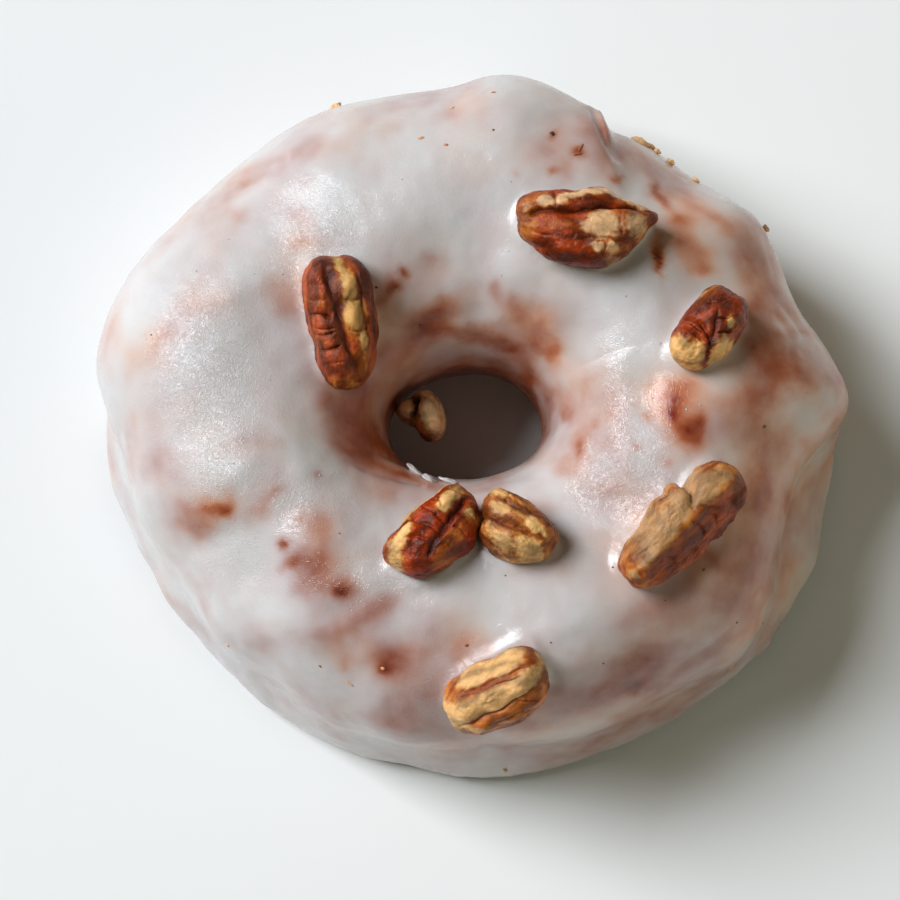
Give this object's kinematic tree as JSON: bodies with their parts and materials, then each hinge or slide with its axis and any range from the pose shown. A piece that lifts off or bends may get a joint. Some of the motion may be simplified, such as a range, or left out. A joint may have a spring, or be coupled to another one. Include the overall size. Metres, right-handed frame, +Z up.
{
  "type": "glazed gluten-free ring doughnut with pecans",
  "caption": "Uneven ring doughnut under a thick translucent white sugar glaze, with broken pecans scattered on top and one wedged in its hole.",
  "frame": {"origin": "middle of the outline seen from above, on the surface that the doughnut rests on", "axes": "+Z up through the hole, +X to the right and +Y away from the viewer as the picture shows it"},
  "size_m": [0.098, 0.0914, 0.0407],
  "materials": {
    "dough": "fried cake crust, matt, golden brown",
    "glaze": "set sugar glaze, translucent, satin to glossy, thin over the crust's high spots",
    "pecan": "roasted pecan, reddish-brown skin and cream broken flesh, waxy"
  },
  "bodies": {
    "root": {"dough_ring": "dough", "glaze": "glaze", "pecan_1": "pecan", "pecan_2": "pecan", "pecan_3": "pecan", "pecan_4": "pecan", "pecan_5": "pecan", "pecan_6": "pecan", "pecan_7": "pecan", "pecan_8": "pecan"}
  },
  "joints": []
}
